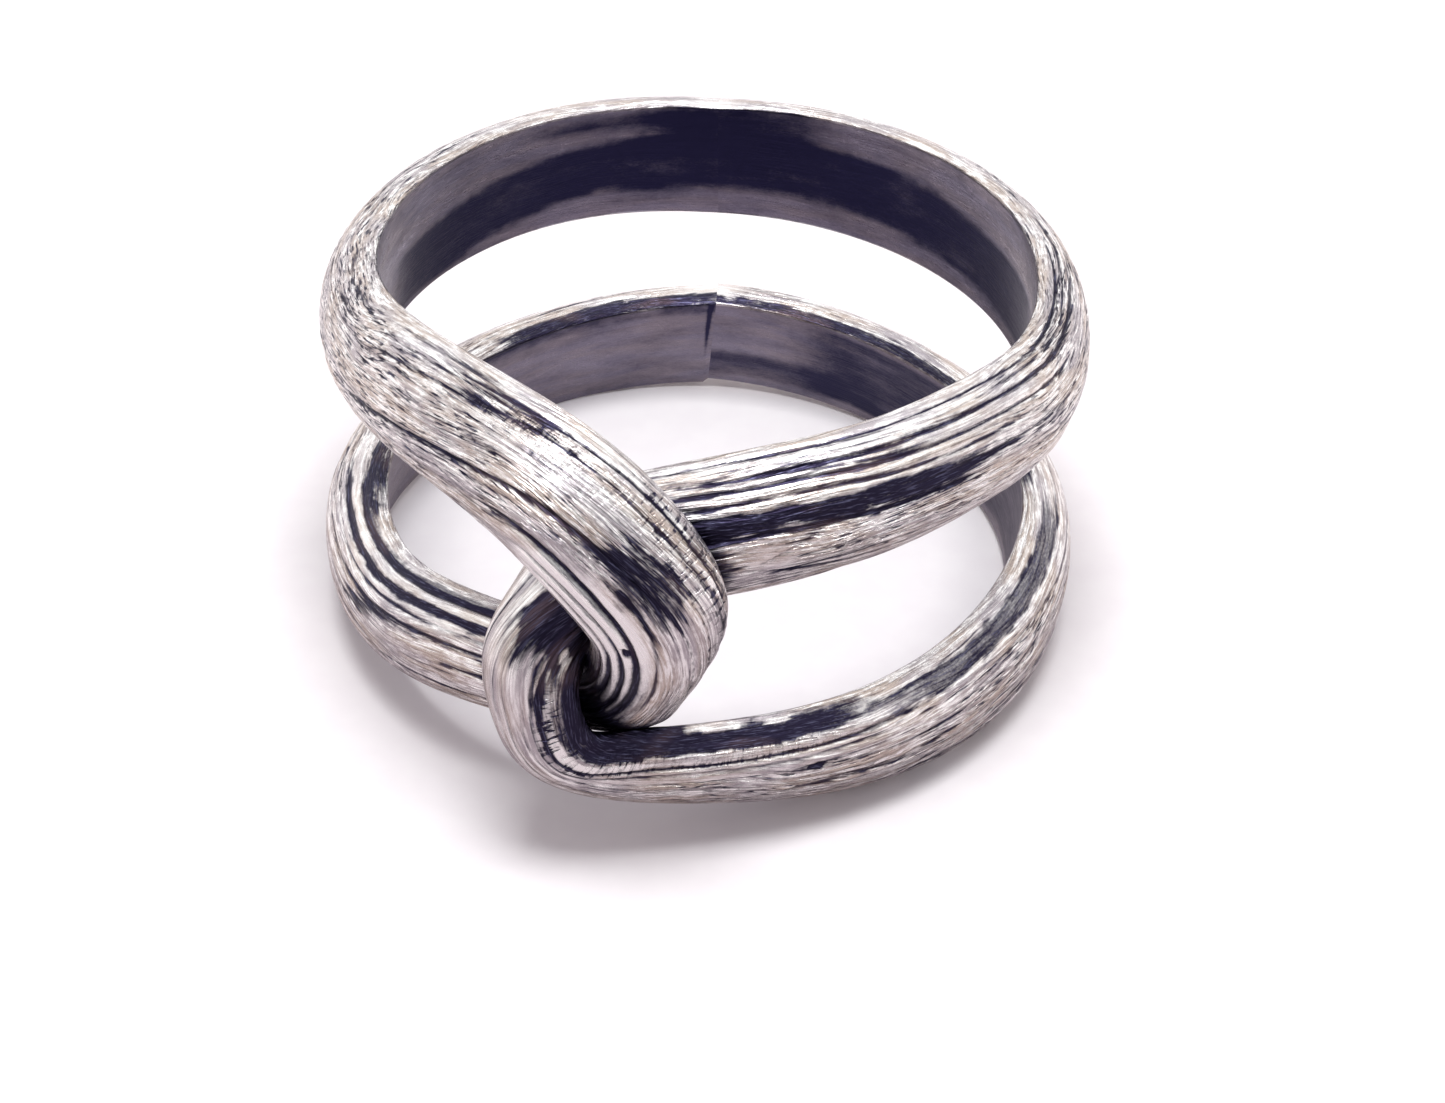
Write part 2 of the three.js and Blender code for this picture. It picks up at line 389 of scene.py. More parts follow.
# Marks, in millimetres along the wire and shares across it (0 at the dome's first edge, 1 at its
# second).
# Grooves: start, end, share at each, half width (mm), depth (mm), oxide.
# Bands: start, end, low share, high share, oxide, depth (mm).
# Blots: centre along, centre across, half length, half share, oxide, depth (mm).
# Calm, flecks, crosscut, eased and swell: centre along, centre across, half length, half share and
# strength of smooth areas, of areas hatched with dark dashes, of areas with short lines across the
# wire, of areas rounded along the wire, and of areas that stand out (mm).
# Inner: start, end, low share, high share, how far the band slants from its start, and oxide, on
# the flat inner face. The bands near each wire's start, on the upper band's inner face at the back,
# are oxide painted darker to stand in for part of a dark reflection.
LEFT_MARKS = {
    "grooves": [
        (19.5, 31.0, 0.43, 0.55, 0.06, 0.13, 1.0),
        (27.0, 35.5, 0.36, 0.345, 0.10, 0.13, 1.0),
        (28.0, 35.5, 0.265, 0.265, 0.07, 0.12, 0.9),
        (28.5, 35.5, 0.17, 0.18, 0.08, 0.12, 0.9),
        (29.0, 35.5, 0.08, 0.11, 0.07, 0.10, 0.8),
        (30.5, 34.0, 0.47, 0.45, 0.06, 0.09, 0.7),
        (24.5, 32.0, 0.80, 0.79, 0.05, 0.06, 0.8),
        (24.0, 32.5, 0.89, 0.885, 0.06, 0.07, 1.0),
        (22.0, 30.0, 0.96, 0.96, 0.06, 0.05, 0.6),
        (40.0, 42.0, 0.46, 0.47, 0.06, 0.07, 0.9),
        (39.5, 50.0, 0.08, 0.10, 0.10, 0.08, 0.9),
        (39.5, 50.0, 0.19, 0.21, 0.12, 0.07, 0.8),
        (39.5, 48.0, 0.27, 0.28, 0.05, 0.05, 0.6),
        (39.5, 49.0, 0.34, 0.36, 0.05, 0.05, 0.5),
    ],
    "bands": [
        (48.5, 51.5, -0.1, 0.06, 0.85, 0.01),
        (58.0, 66.0, -0.1, 0.05, 0.9, 0.0),
        (17.0, 19.0, 0.78, 0.82, 0.6, 0.02),
        (25.3, 26.4, 0.76, 0.80, 0.7, 0.02),
        (32.8, 40.0, 0.00, 0.45, 0.5, 0.0),
        (38.5, 50.5, 0.015, 0.095, 0.60, 0.01),
        (38.5, 50.5, 0.17, 0.225, 0.55, 0.01),
    ],
    "blots": [
        (30.8, 0.57, 1.25, 0.15, 0.62, 0.01),
        (29.2, 0.53, 1.4, 0.06, 0.22, 0.01),
        (32.2, 0.31, 0.14, 0.02, 1.0, 0.07),
    ],
    "calm": [
        (32.0, 0.22, 5.5, 0.28, 0.95),
        (27.6, 0.72, 2.6, 0.10, 0.5),
        (25.0, 0.95, 6.0, 0.08, 0.4),
        (45.0, 0.14, 7.5, 0.17, 0.75),
    ],
    "flecks": [
        (14.0, 0.5, 12.0, 0.8, 1.0),
        (27.0, 0.60, 4.5, 0.30, 0.8),
        (54.0, 0.5, 6.0, 0.8, 0.6),
    ],
    "crosscut": [
        (31.0, 0.90, 2.4, 0.24, 1.0),
        (27.5, 0.78, 2.5, 0.12, 0.5),
    ],
    "eased": [
        (32.6, 0.15, 4.2, 0.55, 1.0),
    ],
    "swell": [
        (36.4, 0.55, 1.8, 0.45, 0.10),
    ],
    "inner": [
        # The first bands, on the upper band's inner face at the back: oxide, painted darker to
        # stand in for part of a dark reflection.
        (-4.0, 12.0, 0.24, 0.74, -0.24, 0.78),
        (-1.0, 5.5, 0.84, 0.95, 0.0, 0.55),
        (-1.0, 1.6, 0.55, 1.1, 0.0, 0.8),
        (56.0, 70.0, -0.1, 0.06, 0.0, 0.6),
        (60.0, 63.5, 0.70, 0.90, 0.0, 0.15),
    ],
}

RIGHT_MARKS = {
    "grooves": [
        (12.5, 22.5, 0.045, 0.05, 0.05, 0.05, 0.9),
        (14.5, 30.0, 0.17, 0.19, 0.07, 0.09, 1.0),
        (22.0, 30.5, 0.045, 0.05, 0.05, 0.06, 0.9),
        (19.0, 30.5, 0.11, 0.12, 0.04, 0.05, 0.7),
        (17.5, 30.5, 0.27, 0.245, 0.06, 0.08, 0.9),
        (20.0, 30.5, 0.33, 0.315, 0.05, 0.05, 0.6),
        (18.0, 24.0, 0.41, 0.42, 0.05, 0.06, 0.7),
        (22.5, 30.5, 0.485, 0.475, 0.05, 0.09, 1.2),
        (26.9, 28.4, 0.53, 0.62, 0.05, 0.05, 0.5),
        (27.5, 28.8, 0.70, 0.64, 0.05, 0.05, 0.5),
        (30.5, 44.0, 0.25, 0.30, 0.05, 0.05, 0.6),
        (34.5, 48.5, 0.785, 0.79, 0.07, 0.08, 0.9),
        (35.5, 48.0, 0.735, 0.74, 0.05, 0.06, 0.8),
        (36.5, 46.0, 0.67, 0.68, 0.04, 0.04, 0.5),
    ],
    "bands": [
        (22.0, 30.8, 0.36, 0.46, 0.85, 0.02),
        (22.0, 31.5, 0.14, 0.175, 0.50, 0.01),
        (20.0, 31.5, 0.065, 0.085, 0.45, 0.01),
        (23.5, 31.5, 0.215, 0.245, 0.40, 0.01),
        (20.0, 31.5, 0.295, 0.32, 0.50, 0.01),
        (37.8, 47.4, 0.865, 1.01, 0.85, 0.02),
        (33.5, 41.6, 0.965, 1.1, 1.0, 0.0),
        (48.0, 58.0, 0.79, 0.94, 0.66, 0.01),
        (58.0, 76.0, 0.985, 1.1, 0.85, 0.0),
        (25.5, 28.8, 0.755, 0.79, 0.35, 0.01),
    ],
    "blots": [
        (45.7, 0.66, 0.22, 0.026, 1.1, 0.07),
        (34.2, 0.80, 1.4, 0.20, 0.7, 0.0),
        (35.0, 0.66, 1.0, 0.26, 0.75, 0.0),
        (36.9, 0.88, 1.2, 0.12, 0.50, 0.0),
        (33.5, 0.35, 4.5, 0.45, 0.20, 0.0),
    ],
    "calm": [
        (28.0, 0.60, 0.7, 0.08, 0.7),
        (42.0, 0.93, 8.0, 0.08, 0.6),
        (25.0, 0.18, 7.0, 0.24, 0.55),
        (34.0, 0.50, 4.5, 0.60, 0.6),
        (40.0, 0.76, 9.0, 0.10, 0.6),
        (53.0, 0.87, 6.0, 0.10, 0.7),
        (38.6, 0.83, 3.2, 0.045, 0.95),
    ],
    "flecks": [
        (14.0, 0.5, 9.0, 0.8, 0.7),
        (24.0, 0.58, 4.0, 0.14, 0.9),
        (44.0, 0.55, 5.0, 0.16, 0.7),
        (54.0, 0.45, 7.0, 0.35, 0.8),
    ],
    "crosscut": [
        (38.8, 0.83, 2.6, 0.11, 1.0),
        (43.5, 0.82, 3.5, 0.06, 0.7),
    ],
    "eased": [
        (35.5, 1.0, 3.0, 0.35, 1.0),
    ],
    "swell": [
        (38.2, 1.0, 3.4, 0.30, 0.22),
    ],
    "inner": [
        # The first bands, on the upper band's inner face at the back: oxide, painted darker to
        # stand in for part of a dark reflection.
        (-4.0, 14.2, 0.24, 0.76, 0.16, 0.78),
        (-2.5, 3.0, -0.1, 0.34, 0.0, 0.7),
        (56.0, 69.5, 0.10, 1.05, 0.0, 0.58),
        (67.0, 75.0, 0.08, 0.40, 0.0, 0.4),
    ],
}


# ---- Meshes ----


def grid_faces(rows, columns):
    """Quads of a tube: rows of sections, each a closed ring of columns."""
    i, j = np.meshgrid(np.arange(rows - 1), np.arange(columns), indexing="ij")
    a = i * columns + j
    b = i * columns + (j + 1) % columns
    return np.stack([a, a + columns, b + columns, b], -1).reshape(-1, 4)


def make_mesh(name, points, quads, fans, values):
    """A mesh object from millimetre points, quads and triangles, with floats on its points.

    The edges of the tube's two end rings are sharp, so that the flat caps don't bend the shading.
    """
    mesh = bpy.data.meshes.new(name)
    mesh.vertices.add(len(points))
    mesh.vertices.foreach_set("co", (points * MM).astype(np.float32).ravel())
    corners = np.concatenate([quads.ravel(), fans.ravel()]).astype(np.int32)
    mesh.loops.add(len(corners))
    mesh.loops.foreach_set("vertex_index", corners)
    fan_starts = 4 * len(quads) + 3 * np.arange(len(fans))
    starts = np.concatenate([4 * np.arange(len(quads)), fan_starts])
    mesh.polygons.add(len(starts))
    mesh.polygons.foreach_set("loop_start", starts.astype(np.int32))
    mesh.polygons.foreach_set("use_smooth", np.arange(len(starts)) < len(quads))
    for key, value in values.items():
        attribute = mesh.attributes.new(key, "FLOAT", "POINT")
        attribute.data.foreach_set("value", value.astype(np.float32).ravel())
    mesh.update(calc_edges=True)
    ends = np.array([edge.vertices[:] for edge in mesh.edges])
    columns, ring_points = len(fans) // 2, len(points) - 2
    in_first = (ends < columns).all(1)
    in_last = ((ends >= ring_points - columns) & (ends < ring_points)).all(1)
    sharp = mesh.attributes.new("sharp_edge", "BOOLEAN", "EDGE")
    sharp.data.foreach_set("value", in_first | in_last)
    mesh.validate()
    piece = bpy.data.objects.new(name, mesh)
    bpy.context.scene.collection.objects.link(piece)
    return piece


def end_fans(rows, columns):
    """Triangles that close both ends of a tube, round two extra middle points."""
    j = np.arange(columns)
    k = (j + 1) % columns
    last, extra = (rows - 1) * columns, rows * columns
    first_cap = np.stack([j, k, np.full(columns, extra)], -1)
    last_cap = np.stack([last + k, last + j, np.full(columns, extra + 1)], -1)
    return np.concatenate([first_cap, last_cap])


# Distance between sections, and how far the skin lies inside the CAD's surface before it is cut.
STEP = 0.085
SKIN = 0.012

# Smoothing along the wire in the eased areas: how far it looks, and its spread.
EASE_REACH = 2.0
EASE_SPREAD = 0.65

# The crack down the lower seam: where it starts along the seam, how far it slants, its half width,
# the shares across the wire where it starts and stops closing, its depth and its oxide.
CRACK_START = 0.70
CRACK_SLANT = 0.5
CRACK_HALF_WIDTH = 0.15
CRACK_CLOSING = (0.20, 0.75)
CRACK_DEPTH = 0.07
CRACK_OXIDE = 1.2


def inner_oxide_and_painted_reflection(s, across, share, marks, seed):
    """Share of dark oxide on the flat inner face; some bands are painted darker as part of a dark
    reflection.
    """
    cloud = layered_noise(s / 2.6, across / 1.0, seed, 3)
    ragged = 0.28 * cloud + 0.12 * layered_noise(s / 0.5, across / 0.3, seed + 5, 2)
    oxide = 0.25 + 0.35 * cloud
    for s0, s1, q0, q1, slant, strength in marks:
        drop = slant * smoothstep(0.3, 1.0, np.abs(s - s0) / (s1 - s0))
        band = soft_box(share - drop + 0.12 * ragged, q0, q1, 0.035)
        oxide = oxide + strength * band * soft_box(s + 3.0 * ragged, s0, s1, 1.3)
    return oxide


def ease_bends(points, s, share, areas):
    """Rounds the skin along the wire where a tight bend crowds its sections.

    The seams are too short for it, and have no bend.
    """
    reach = int(EASE_REACH / STEP)
    if len(s) < 4 * reach:
        return points
    kernel = np.exp(-((np.arange(-reach, reach + 1) * STEP / EASE_SPREAD) ** 2) / 2)
    kernel = kernel / kernel.sum()
    before, after = (np.repeat(end, reach, 0) for end in (points[:1], points[-1:]))
    padded = np.concatenate([before, points, after])
    eased = sum(k * padded[i:i + len(points)] for i, k in enumerate(kernel))
    weight = spread(s, share, areas)[..., None]
    return points * (1 - weight) + eased * weight


def seam_crack(t, share, region):
    """The crack down the lower seam's inner face: open at the upper edge, closed at the lower."""
    line = np.exp(-(((t - CRACK_START + CRACK_SLANT * share) / CRACK_HALF_WIDTH) ** 2))
    return region * line * (1 - smoothstep(*CRACK_CLOSING, share))


def skin(frame_at, s, marks, seed, from_end, extra_dip=0.0, crack=None):
    """Points and values of a stretch of wire: its sections, with the relief cut into them.

    from_end is every section's distance to the nearest soldered end, where the wire was filed.
    extra_dip lowers a section everywhere, and crack is its share of the way along a cracked seam.
    """
    centre, normal, side, width = frame_at
    x, y, nx, ny, across, share, region = section_outlines(width)
    s = s[:, None] + 0 * x
    span = across[:, DOME_POINTS - 1:DOME_POINTS] + 0 * x
    over = np.clip(across, 0, span)
    from_end = from_end[:, None] + 0 * x
    depth, oxide, *areas = wire_relief(s, over, span, share, marks, seed, from_end)
    dome = 1 - smoothstep(0.0, 0.6, region)
    inside = inner_oxide_and_painted_reflection(s, across, share, marks["inner"], seed + 45)
    oxide = oxide * dome + inside * (1 - dome)
    depth = depth - spread(s, share, marks["swell"])
    if crack is not None:
        cut = seam_crack(crack, share, region)
        oxide = oxide + CRACK_OXIDE * cut
        depth = depth + CRACK_DEPTH * cut
    foot_depth = 0.010 + 0.010 * layered_noise(s / 2.2, across / 0.8, seed + 40, 3)
    depth = SKIN + depth * dome + foot_depth * region + extra_dip
    bare = centre[:, None] + x[..., None] * side[:, None] + y[..., None] * normal[:, None]
    bare = ease_bends(bare, s, share, marks["eased"])
    outward = nx[..., None] * side[:, None] + ny[..., None] * normal[:, None]
    points = bare - depth[..., None] * outward
    values = {"along": s, "across": across, "oxide": oxide, "foot": region}
    values.update(zip(("calm", "flecks", "crosscut"), areas))
    values = {key: with_middles(value[..., None])[:, 0] for key, value in values.items()}
    return with_middles(points), x.shape, values


def build_wire(path, marks, seed):
    """One wire before it is moved onto the CAD."""
    s, *frame_at = path
    return skin(frame_at, s, marks, seed, np.minimum(s, s[-1] - s))


def with_middles(grid):
    """A grid's points as one list, with the middles of its two end rings added for the caps."""
    return np.concatenate([grid.reshape(-1, grid.shape[-1]), grid[[0, -1]].mean(axis=1)])


LEFT_SEED, RIGHT_SEED = 100, 500
left_path, right_path = wire_path(LEFT_STATIONS, STEP), wire_path(RIGHT_STATIONS, STEP)
left = build_wire(left_path, LEFT_MARKS, LEFT_SEED)
right = build_wire(right_path, RIGHT_MARKS, RIGHT_SEED)
left_low, left_high = (np.array(corner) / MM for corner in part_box("left_loop"))
right_low, right_high = (np.array(corner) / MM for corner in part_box("right_loop"))

# The CAD moves its origin to the middle of the footprint. The same move brings these wires onto it:
# in x and y by the middle of the whole ring's box, in z by the top of the left loop.
all_points = np.concatenate([left[0], right[0]])
cad_low, cad_high = np.minimum(left_low, right_low), np.maximum(left_high, right_high)
shift = (cad_low + cad_high) / 2 - (all_points.min(0) + all_points.max(0)) / 2
shift[2] = left_high[2] - left[0][:, 2].max() - SKIN

CONTACT_REACH = 1.3


def painted_contact_shade(points, other):
    """How close each point is to the other wire: 1 where they touch, 0 beyond CONTACT_REACH.

    The silver paints shade from it, darkest where the wires touch. Only the front half counts,
    because the soldered ends at the back don't shade each other.
    """
    other = other[other[:, 1] < 0]
    tree = KDTree(len(other))
    for i, point in enumerate(other):
        tree.insert(point, i)
    tree.balance()
    near = np.zeros(len(points))
    low, high = other.min(0) - CONTACT_REACH, other.max(0) + CONTACT_REACH
    for i in np.nonzero(((points > low) & (points < high)).all(1))[0]:
        near[i] = 1 - min(tree.find(points[i])[2] / CONTACT_REACH, 1)
    return near


def stand_in(name, node, points, shape, values):
    """The finished piece that stands for a CAD node."""
    piece = make_mesh(name, points, grid_faces(*shape), end_fans(*shape), values)
    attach(piece, "root")
    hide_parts(node)
    return piece


def finish_wire(name, node, built, other):
    """A wire moved onto the CAD and kept inside its node's box.

    Every third point of the other wire is enough to tell how near it is.
    """
    points, shape, values = built
    low, high = (np.array(corner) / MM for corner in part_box(node))
    points = np.clip(points + shift, low, high)
    values["near"] = painted_contact_shade(points, (other[0] + shift)[::3])
    return stand_in(name, node, points, shape, values)


left_wire = finish_wire("left_wire", "left_loop", left, right)
right_wire = finish_wire("right_wire", "right_loop", right, left)


# ---- Seams ----

SEAM_SECTIONS = 17
SEAM_DIP = 0.006


def build_seam(name, node, first, last, s_start, cracked=False):
    """Solder between two wire ends: the left wire's section and relief carried on, filed lower."""
    t = np.linspace(0, 1, SEAM_SECTIONS)[:, None]
    centre, normal, side, width = (a * (1 - t) + b * t for a, b in zip(first, last))
    dip = SEAM_DIP * np.sin(np.pi * t)
    s = s_start + np.linalg.norm(last[0] - first[0]) * t[:, 0]
    frame_at = (centre, unit(normal), unit(side), width[:, 0])
    crack = t if cracked else None
    points, shape, values = skin(frame_at, s, LEFT_MARKS, LEFT_SEED, 0 * s, dip, crack)
    values["near"] = np.zeros(len(points))
    return stand_in(name, node, points + shift, shape, values)


def wire_end(path, index, sign):
    """Centre, normal, side and width where a wire ends, with its side turned over by the sign."""
    _, centre, normal, side, width = path
    return centre[index], normal[index], sign * side[index], width[index]


left_length = left_path[0][-1]
upper_ends = wire_end(right_path, 0, -1), wire_end(left_path, 0, 1)
lower_ends = wire_end(left_path, -1, 1), wire_end(right_path, -1, -1)
seam_length = SEAM_LENGTH + 2 * SEAM_CLEARANCE
upper_seam = build_seam("upper_solder", "upper_solder_seam", *upper_ends, -seam_length)
lower_seam = build_seam("lower_solder", "lower_solder_seam", *lower_ends, left_length, True)


# ---- Materials ----


class Nodes:
    """Short way to add shader nodes and wire them."""

    def __init__(self, tree):
        self.tree = tree

    def add(self, kind, inputs=None, **settings):
        node = self.tree.nodes.new(kind)
        for key, value in settings.items():
            setattr(node, key, value)
        for key, value in (inputs or {}).items():
            if isinstance(value, bpy.types.NodeSocket):
                self.tree.links.new(value, node.inputs[key])
            else:
                node.inputs[key].default_value = value
        return node

    def attribute(self, name):
        return self.add("ShaderNodeAttribute", attribute_name=name).outputs["Fac"]

    def math(self, operation, a, b):
        return self.add("ShaderNodeMath", {0: a, 1: b}, operation=operation).outputs[0]

    def plus(self, a, b):
        return self.math("ADD", a, b)

    def minus(self, a, b):
        return self.math("SUBTRACT", a, b)

    def times(self, a, b):
        return self.math("MULTIPLY", a, b)

    def vector(self, x, y, z=0.0):
        return self.add("ShaderNodeCombineXYZ", {0: x, 1: y, 2: z}).outputs[0]

    def dot(self, a, b):
        node = self.add("ShaderNodeVectorMath", {0: a, 1: b}, operation="DOT_PRODUCT")
        return node.outputs["Value"]

    def noise(self, vector, detail, roughness, scale=1.0):
        inputs = {"Vector": vector, "Scale": scale, "Detail": detail, "Roughness": roughness}
        return self.add("ShaderNodeTexNoise", inputs).outputs["Fac"]

    def step(self, value, low, high):
        """Smooth step from 0 at low to 1 at high."""
        node = self.add(
            "ShaderNodeMapRange",
            {"Value": value, "From Min": low, "From Max": high},
            interpolation_type="SMOOTHSTEP",
        )
        return node.outputs["Result"]

    def blend(self, kind, names, factor, a, b):
        node = self.add("ShaderNodeMix", data_type=kind)
        for socket, value in (("Factor_Float", factor), ("A_" + names, a), ("B_" + names, b)):
            target = next(i for i in node.inputs if i.identifier == socket)
            if isinstance(value, bpy.types.NodeSocket):
                self.tree.links.new(value, target)
            else:
                target.default_value = value
        return next(o for o in node.outputs if o.identifier == "Result_" + names)

    def mix(self, factor, a, b):
        return self.blend("RGBA", "Color", factor, a, b)

    def blend_values(self, factor, a, b):
        return self.blend("FLOAT", "Float", factor, a, b)


# Linear colours. Worn crests are almost white; the rubbed metal between them keeps a warm grey
# tarnish. The oxide is blue-black, brownish in places; the blue sheen on its hairlines is a
# painted highlight.
BRIGHT_SILVER = (0.93, 0.915, 0.905, 1)
TARNISH_COOL = (0.42, 0.385, 0.41, 1)
TARNISH_WARM = (0.50, 0.425, 0.38, 1)
INNER_COOL = (0.265, 0.245, 0.315, 1)
INNER_WARM = (0.295, 0.262, 0.305, 1)
OXIDE_COOL = (0.020, 0.017, 0.036, 1)
OXIDE_WARM = (0.060, 0.042, 0.055, 1)
PAINTED_OXIDE_SHEEN = (0.105, 0.105, 0.175, 1)
INNER_OXIDE = (0.022, 0.021, 0.060, 1)

# Metres of bump for a height of 1, a little over the depth of the fine scratches.
BUMP_DISTANCE = 0.00009


def new_material(name):
    material = bpy.data.materials.new(name)
    material.use_nodes = True
    material.node_tree.nodes.clear()
    return material, Nodes(material.node_tree)


def silver_material(name, base_oxide=0.0):
    """Silver blackened with liver of sulphur and rubbed back: bright ridges, dark grooves.

    Every noise takes a place of its own in the third direction, so that no two of them agree.
    """
    material, n = new_material(name)
    along, across = n.attribute("along"), n.attribute("across")
    oxide, foot, near = n.attribute("oxide"), n.attribute("foot"), n.attribute("near")
    calm, flecks, crosscut = n.attribute("calm"), n.attribute("flecks"), n.attribute("crosscut")

    def pattern(x, y, per_x, per_y, place, detail=2.0, roughness=0.6):
        return n.noise(n.vector(n.times(x, per_x), n.times(y, per_y), place), detail, roughness)

    drift = pattern(along, across, 0.22, 0.5, 54.0, 1.0, 0.5)
    v = n.plus(across, n.times(drift, 0.9))
    hatch = n.plus(along, n.times(across, 0.9))
    coarse = pattern(along, v, 0.22, 4.5, 4.0)
    medium = pattern(along, v, 0.65, 9.5, 7.0)
    hair = pattern(along, v, 1.9, 20.0, 9.0)
    dash = pattern(hatch, v, 1.7, 15.5, 13.0, 2.0, 0.5)
    nick = pattern(along, across, 9.0, 1.6, 31.0)
    nick = n.times(n.step(nick, 0.50, 0.60), crosscut)
    mottle = pattern(along, across, 2.0, 3.2, 11.0, 4.0, 0.72)
    grain = pattern(along, across, 9.0, 14.0, 15.0, 2.0, 0.7)
    warmth = pattern(along, across, 0.35, 1.1, 23.0, 2.0, 0.5)
    rough_area = n.minus(1.0, n.times(calm, 0.85))

    dome_mask = n.times(n.step(medium, 0.54, 0.62), 0.24)
    dome_mask = n.plus(dome_mask, n.times(n.step(coarse, 0.54, 0.72), 0.16))
    dome_mask = n.plus(dome_mask, n.times(n.times(n.step(dash, 0.54, 0.59), flecks), 0.62))
    dome_mask = n.plus(dome_mask, n.times(n.step(mottle, 0.54, 0.76), 0.20))
    dome_mask = n.plus(dome_mask, n.times(n.minus(hair, 0.5), 0.65))
    dome_mask = n.plus(oxide, n.times(dome_mask, rough_area))
    dome_mask = n.plus(dome_mask, n.times(nick, 0.42))
    dome_mask = n.plus(dome_mask, n.times(n.minus(grain, 0.5), 0.35))
    # Painted shade where the two wires touch, darkened toward the oxide colour.
    dome_mask = n.plus(dome_mask, n.times(n.step(near, 0.35, 0.95), 1.1))
    dome_mask = n.step(n.plus(dome_mask, base_oxide), 0.22, 0.86)

    foot_mask = n.plus(oxide, n.times(n.minus(mottle, 0.5), 0.50))
    foot_mask = n.plus(foot_mask, n.times(n.minus(grain, 0.5), 0.40))
    # Painted shade where the two wires touch, on the flat inner face too.
    foot_mask = n.plus(foot_mask, n.times(n.step(near, 0.30, 0.95), 1.0))
    foot_mask = n.step(foot_mask, -0.1, 1.05)
    foot_on = n.step(foot, 0.35, 1.0)
    mask = n.blend_values(foot_on, dome_mask, foot_mask)

    polish = n.plus(n.times(n.minus(coarse, 0.5), -1.0), n.times(n.minus(medium, 0.5), -1.3))
    polish = n.plus(polish, n.times(n.minus(hair, 0.5), -0.9))
    polish = n.times(n.plus(polish, n.times(n.minus(mottle, 0.5), -1.1)), rough_area)
    calm_polish = n.plus(n.times(calm, 0.04), n.times(n.step(calm, 0.70, 0.95), 0.26))
    polish = n.plus(polish, calm_polish)
    polish = n.step(polish, -0.16, 0.30)
    warm_metal = n.step(warmth, 0.38, 0.62)
    metal = n.mix(polish, n.mix(warm_metal, TARNISH_COOL, TARNISH_WARM), BRIGHT_SILVER)
    metal = n.mix(foot_on, metal, n.mix(warm_metal, INNER_COOL, INNER_WARM))
    dark = n.mix(n.step(warmth, 0.50, 0.66), OXIDE_COOL, OXIDE_WARM)
    # Painted highlight: a blue sheen mixed into the oxide along its hairlines.
    dark = n.mix(n.times(n.step(hair, 0.52, 0.66), 0.6), dark, PAINTED_OXIDE_SHEEN)
    dark = n.mix(foot_on, dark, INNER_OXIDE)
    colour = n.mix(mask, metal, dark)
    roughness = n.plus(0.18, n.times(hair, 0.18))
    roughness = n.plus(roughness, n.times(mask, 0.10))

    height = n.plus(n.times(coarse, 1.0), n.times(medium, 0.75))
    height = n.plus(n.plus(height, n.times(hair, 0.35)), n.times(grain, 0.10))
    height = n.minus(height, n.times(n.times(n.step(dash, 0.50, 0.62), flecks), 0.35))
    height = n.minus(n.times(height, rough_area), n.times(nick, 0.30))
    height = n.times(height, n.minus(1.0, n.times(foot_on, 0.85)))
    bump = n.add("ShaderNodeBump", {"Height": height, "Strength": 1.0, "Distance": BUMP_DISTANCE})
    shader = n.add(
        "ShaderNodeBsdfPrincipled",
        {"Base Color": colour, "Metallic": 1.0, "Roughness": roughness, "Normal": bump.outputs[0]},
    )
    output = n.add("ShaderNodeOutputMaterial")
    n.tree.links.new(shader.outputs[0], output.inputs["Surface"])
    return material


SOLDER_EXTRA_OXIDE = 0.04
silver = silver_material("oxidised_silver")
solder = silver_material("oxidised_solder", SOLDER_EXTRA_OXIDE)
for piece in (left_wire, right_wire):
    piece.data.materials.append(silver)
for piece in (upper_seam, lower_seam):
    piece.data.materials.append(solder)


# ---- Stage ----

FLOOR_SIZE = 3.0
PAPER_COLOURS = (0.90, 0.875, 0.895, 1), (0.92, 0.90, 0.915, 1)

# In the silver, the paper is given painted shade under the ring and close in front of it, and
# painted light beyond. Reach is the distance from the ring's middle, in metres, with more added
# further back.
PAPER_SHADE_IN_SILVER = (0.58, 0.52, 0.545, 1)
PAPER_LIGHT_IN_SILVER = (1.0, 0.95, 0.945, 1)
NEAR_PAPER_REACH, FAR_PAPER_REACH = 0.012, 0.026
REACH_PER_DEPTH = 0.8

# Distance and target in millimetres, angles in radians.
CAMERA_DISTANCE = 150.0
CAMERA_ELEVATION = 0.692
CAMERA_ROLL = 0.037
CAMERA_TARGET = Vector((0.749, 1.2925, 1.396))
CAMERA_LENS = 122.95

KEY_POSITION = Vector((-0.005, -0.05, 0.345))
KEY_SIZE = (0.15, 0.13)
KEY_POWER = 1.0

floor_mesh = bpy.data.meshes.new("floor")
half = FLOOR_SIZE / 2
floor_corners = [(-half, -half, 0), (half, -half, 0), (half, half, 0), (-half, half, 0)]
floor_mesh.from_pydata(floor_corners, [], [(0, 1, 2, 3)])
floor = bpy.data.objects.new("floor", floor_mesh)
bpy.context.scene.collection.objects.link(floor)
paper, n = new_material("white_paper")
spot = n.add("ShaderNodeTexCoord").outputs["Object"]
speckle = n.noise(spot, 3.0, 0.5, 900.0)
paper_colour = n.mix(n.step(speckle, 0.3, 0.7), *PAPER_COLOURS)
mirrored = n.add("ShaderNodeLightPath").outputs["Is Glossy Ray"]
depth_of_spot = n.add("ShaderNodeSeparateXYZ", {0: spot}).outputs["Y"]
reach = n.add("ShaderNodeVectorMath", {0: spot}, operation="LENGTH").outputs["Value"]
reach = n.plus(reach, n.times(depth_of_spot, REACH_PER_DEPTH))
beyond = n.step(reach, NEAR_PAPER_REACH, FAR_PAPER_REACH)
